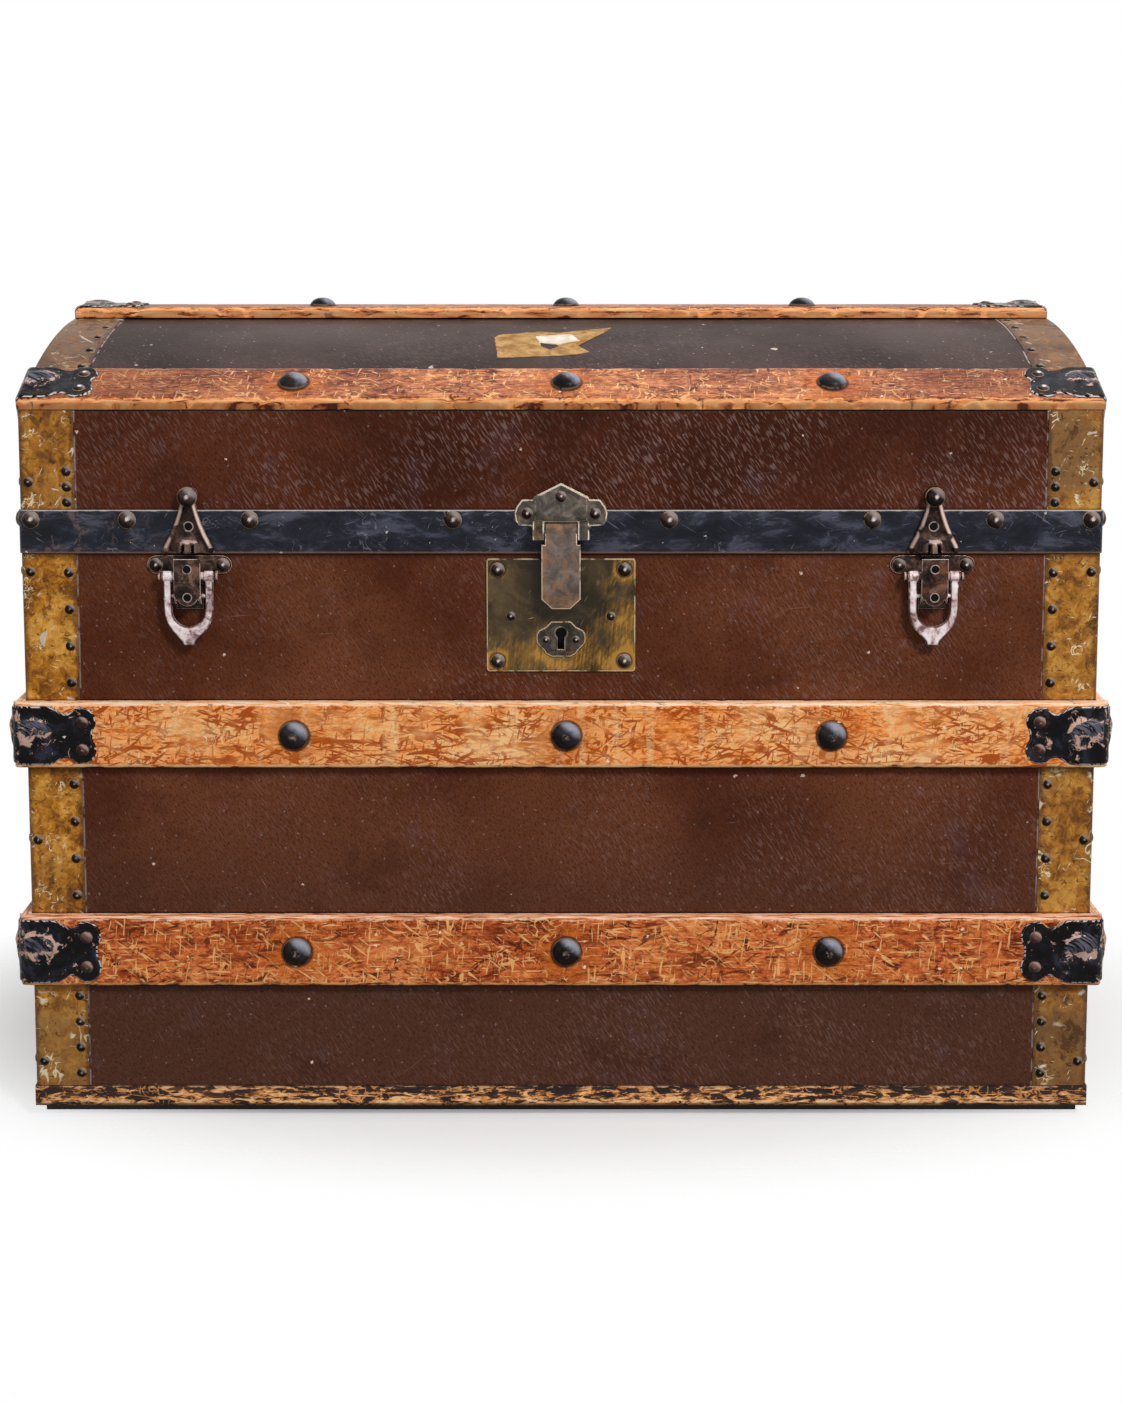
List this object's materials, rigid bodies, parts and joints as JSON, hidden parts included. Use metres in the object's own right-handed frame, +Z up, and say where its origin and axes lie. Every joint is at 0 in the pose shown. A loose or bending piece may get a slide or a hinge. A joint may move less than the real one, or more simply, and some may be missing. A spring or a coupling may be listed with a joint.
{
  "type": "travel trunk",
  "caption": "Dome-topped travel trunk with wooden slats, metal corners and belt, hinged lid, hasp lock, draw latches and end handles.",
  "frame": {"origin": "on the ground under the middle of the trunk, on the underside of the centre runner", "axes": "+X along the length to the right as seen from the front, front faces -Y, +Z up"},
  "size_m": [0.847, 0.5016, 0.625],
  "materials": {
    "board_wood": "bare softwood",
    "rail_wood": "dark worn varnish",
    "runner_wood": "black paint, worn",
    "slat_wood": "worn varnish",
    "canvas": "painted canvas",
    "band_metal": "aged, mottled",
    "belt_steel": "worn blue-black paint",
    "clamp_enamel": "glossy black enamel, chipped",
    "lock_bronze": "tarnished, streaked",
    "hardware_steel": "tarnished bronze-grey",
    "lever_nickel": "worn nickel plate",
    "stud_steel": "gunmetal",
    "rivet_steel": "worn plate",
    "nail_steel": "dark",
    "handle_leather": "oiled, worn"
  },
  "bodies": {
    "trunk_body": {"floor_board": "board_wood", "front_board": "board_wood", "back_board": "board_wood", "left_end_board": "board_wood", "right_end_board": "board_wood", "closing_lip": "board_wood", "body_canvas": "canvas", "base_rail": "rail_wood", "bottom_runners": "runner_wood", "body_corner_bands": "band_metal", "body_band_nails": "nail_steel", "front_upper_slat": "slat_wood", "front_lower_slat": "slat_wood", "back_upper_slat": "slat_wood", "back_lower_slat": "slat_wood", "left_end_slats": "slat_wood", "right_end_slats": "slat_wood", "body_slat_studs": "stud_steel", "body_corner_clamps": "clamp_enamel", "body_clamp_rivets": "nail_steel", "lock_plate": "lock_bronze", "escutcheon": "hardware_steel", "lock_case": "hardware_steel", "body_hardware_rivets": "rivet_steel", "latch_bases": "hardware_steel", "latch_axles": "rivet_steel", "hinge_body_leaves": "hardware_steel", "hinge_pins": "rivet_steel", "handle_brackets": "hardware_steel", "handle_pins": "rivet_steel"},
    "lid": {"lid_front_board": "board_wood", "lid_back_board": "board_wood", "lid_left_board": "board_wood", "lid_right_board": "board_wood", "lid_top_panel": "board_wood", "lid_side_canvas": "canvas", "lid_top_canvas": "canvas", "lid_corner_bands": "band_metal", "lid_dome_bands": "band_metal", "lid_band_nails": "nail_steel", "lid_belt": "belt_steel", "belt_rivets": "rivet_steel", "lid_front_slat": "slat_wood", "lid_crown_slat": "slat_wood", "lid_back_slat": "slat_wood", "lid_slat_studs": "stud_steel", "lid_slat_clamps": "clamp_enamel", "lid_hardware_rivets": "rivet_steel", "hasp_plate": "hardware_steel", "hasp_pin": "rivet_steel", "latch_catches": "hardware_steel", "hinge_lid_leaves": "hardware_steel"},
    "hasp_tongue": {"hasp_tongue": "hardware_steel"},
    "left_lever": {"left_lever": "lever_nickel"},
    "right_lever": {"right_lever": "lever_nickel"},
    "left_strap": {"left_strap": "hardware_steel"},
    "right_strap": {"right_strap": "hardware_steel"},
    "left_handle": {"left_handle": "handle_leather"},
    "right_handle": {"right_handle": "handle_leather"},
    "lock_bolt": {"lock_bolt": "rivet_steel"}
  },
  "joints": [
    {"name": "lid_hinge", "type": "hinge", "parent": "trunk_body", "child": "lid", "pos_m": [0, 0.242, 0.4432], "axis": [-1, 0, 0], "range_deg": [0, 100]},
    {"name": "hasp_hinge", "type": "hinge", "parent": "lid", "child": "hasp_tongue", "pos_m": [0, -0.2429, 0.4618], "axis": [-1, 0, 0], "range_deg": [0, 150]},
    {"name": "left_lever_hinge", "type": "hinge", "parent": "trunk_body", "child": "left_lever", "pos_m": [-0.28008, -0.243, 0.4275], "axis": [-1, 0, 0], "range_deg": [0, 135]},
    {"name": "left_strap_pivot", "type": "hinge", "parent": "left_lever", "child": "left_strap", "pos_m": [-0.28008, -0.243, 0.4125], "axis": [-1, 0, 0], "range_deg": [-135, 0]},
    {"name": "right_lever_hinge", "type": "hinge", "parent": "trunk_body", "child": "right_lever", "pos_m": [0.28008, -0.243, 0.4275], "axis": [-1, 0, 0], "range_deg": [0, 135]},
    {"name": "right_strap_pivot", "type": "hinge", "parent": "right_lever", "child": "right_strap", "pos_m": [0.28008, -0.243, 0.4125], "axis": [-1, 0, 0], "range_deg": [-135, 0]},
    {"name": "left_handle_swing", "type": "hinge", "parent": "trunk_body", "child": "left_handle", "pos_m": [-0.4155, 0, 0.4002], "axis": [0, 1, 0], "range_deg": [0, 90]},
    {"name": "right_handle_swing", "type": "hinge", "parent": "trunk_body", "child": "right_handle", "pos_m": [0.4155, 0, 0.4002], "axis": [0, -1, 0], "range_deg": [0, 90]},
    {"name": "lock_bolt_slide", "type": "slide", "parent": "trunk_body", "child": "lock_bolt", "axis": [1, 0, 0], "range_m": [0, 0.006]}
  ],
  "couplings": [
    {"joint": "left_strap_pivot", "follows": "left_lever_hinge", "ratio": -1},
    {"joint": "right_strap_pivot", "follows": "right_lever_hinge", "ratio": -1}
  ]
}
